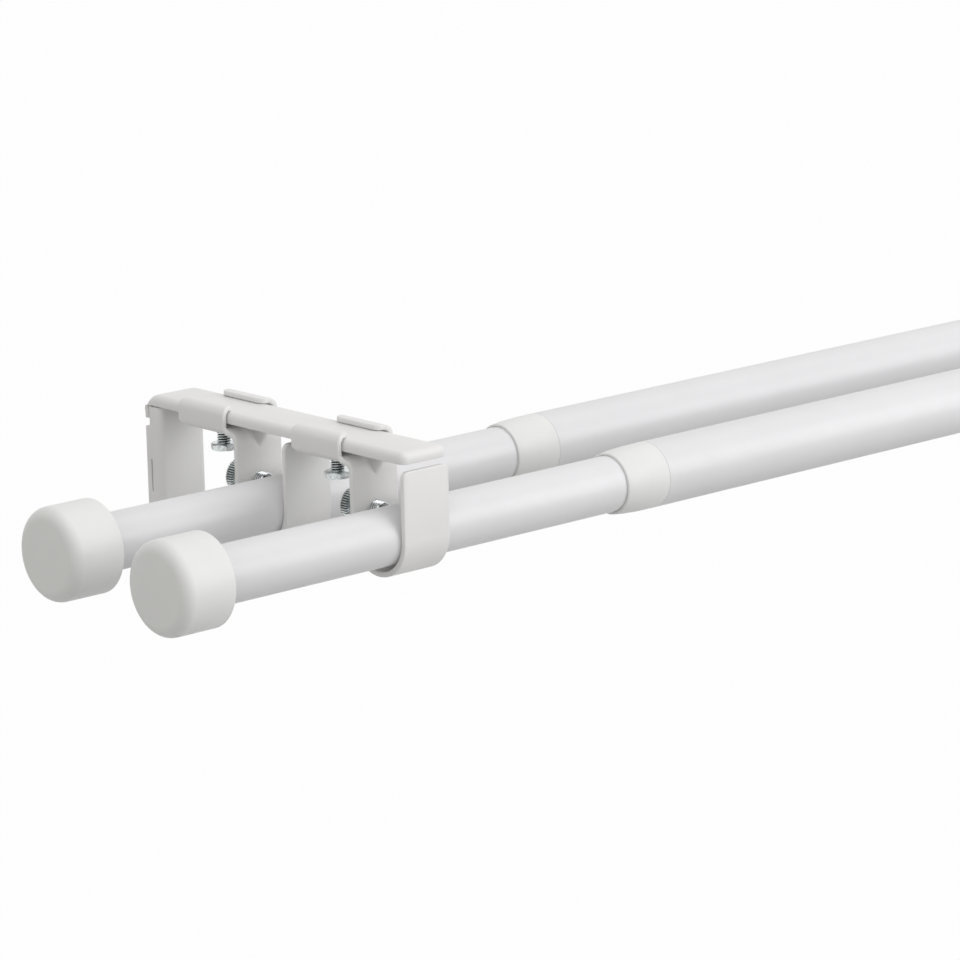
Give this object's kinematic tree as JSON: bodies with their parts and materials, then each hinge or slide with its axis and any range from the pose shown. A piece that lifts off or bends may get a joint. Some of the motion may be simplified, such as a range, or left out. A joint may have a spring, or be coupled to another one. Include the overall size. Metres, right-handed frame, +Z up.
{
  "type": "double curtain rod",
  "caption": "Telescopic double curtain rod with round end caps, carried by wall brackets with sliding stamped rod holders, clamp bolts and knurled thumb screws.",
  "frame": {"origin": "middle of the left wall plate's two screw holes, on the wall", "axes": "+X along the rods to the right as seen from the room, +Y into the wall, +Z up"},
  "size_m": [0.8501, 0.115, 0.0436],
  "materials": {
    "rod_paint": "satin white paint",
    "bracket_paint": "white powder coat",
    "plastic": "off-white moulded plastic",
    "zinc": "bright zinc plating"
  },
  "bodies": {
    "brackets": {"left_wall_plate": "bracket_paint", "left_bracket": "bracket_paint", "right_wall_plate": "bracket_paint", "right_bracket": "bracket_paint"},
    "front_rod": {"left_front_holder": "bracket_paint", "right_front_holder": "bracket_paint", "front_outer_tube": "rod_paint", "front_collar": "plastic", "right_front_cap": "plastic"},
    "front_inner": {"front_inner_tube": "rod_paint", "left_front_cap": "plastic"},
    "left_front_clamp_bolt": {"left_front_clamp_bolt": "zinc"},
    "left_front_thumb_screw": {"left_front_thumb_screw": "zinc"},
    "right_front_clamp_bolt": {"right_front_clamp_bolt": "zinc"},
    "right_front_thumb_screw": {"right_front_thumb_screw": "zinc"},
    "rear_rod": {"left_rear_holder": "bracket_paint", "right_rear_holder": "bracket_paint", "rear_outer_tube": "rod_paint", "rear_collar": "plastic", "right_rear_cap": "plastic"},
    "rear_inner": {"rear_inner_tube": "rod_paint", "left_rear_cap": "plastic"},
    "left_rear_clamp_bolt": {"left_rear_clamp_bolt": "zinc"},
    "left_rear_thumb_screw": {"left_rear_thumb_screw": "zinc"},
    "right_rear_clamp_bolt": {"right_rear_clamp_bolt": "zinc"},
    "right_rear_thumb_screw": {"right_rear_thumb_screw": "zinc"}
  },
  "joints": [
    {"name": "front_reach", "type": "slide", "parent": "brackets", "child": "front_rod", "axis": [0, -1, 0], "range_m": [-0.003, 0.02]},
    {"name": "front_pull", "type": "slide", "parent": "front_rod", "child": "front_inner", "axis": [-1, 0, 0], "range_m": [-0.058, 0.355]},
    {"name": "left_front_clamp_bolt_travel", "type": "slide", "parent": "front_rod", "child": "left_front_clamp_bolt", "axis": [0, 0, -1], "range_m": [0, 0.0025]},
    {"name": "left_front_thumb_screw_travel", "type": "slide", "parent": "front_rod", "child": "left_front_thumb_screw", "axis": [0, 1, 0], "range_m": [0, 0.0015]},
    {"name": "right_front_clamp_bolt_travel", "type": "slide", "parent": "front_rod", "child": "right_front_clamp_bolt", "axis": [0, 0, -1], "range_m": [0, 0.0011]},
    {"name": "right_front_thumb_screw_travel", "type": "slide", "parent": "front_rod", "child": "right_front_thumb_screw", "axis": [0, 1, 0], "range_m": [0, 0.0015]},
    {"name": "rear_reach", "type": "slide", "parent": "brackets", "child": "rear_rod", "axis": [0, -1, 0], "range_m": [-0.008, 0.003]},
    {"name": "rear_pull", "type": "slide", "parent": "rear_rod", "child": "rear_inner", "axis": [-1, 0, 0], "range_m": [-0.055, 0.355]},
    {"name": "left_rear_clamp_bolt_travel", "type": "slide", "parent": "rear_rod", "child": "left_rear_clamp_bolt", "axis": [0, 0, -1], "range_m": [0, 0.0025]},
    {"name": "left_rear_thumb_screw_travel", "type": "slide", "parent": "rear_rod", "child": "left_rear_thumb_screw", "axis": [0, 1, 0], "range_m": [0, 0.0015]},
    {"name": "right_rear_clamp_bolt_travel", "type": "slide", "parent": "rear_rod", "child": "right_rear_clamp_bolt", "axis": [0, 0, -1], "range_m": [0, 0.0011]},
    {"name": "right_rear_thumb_screw_travel", "type": "slide", "parent": "rear_rod", "child": "right_rear_thumb_screw", "axis": [0, 1, 0], "range_m": [0, 0.0015]}
  ]
}
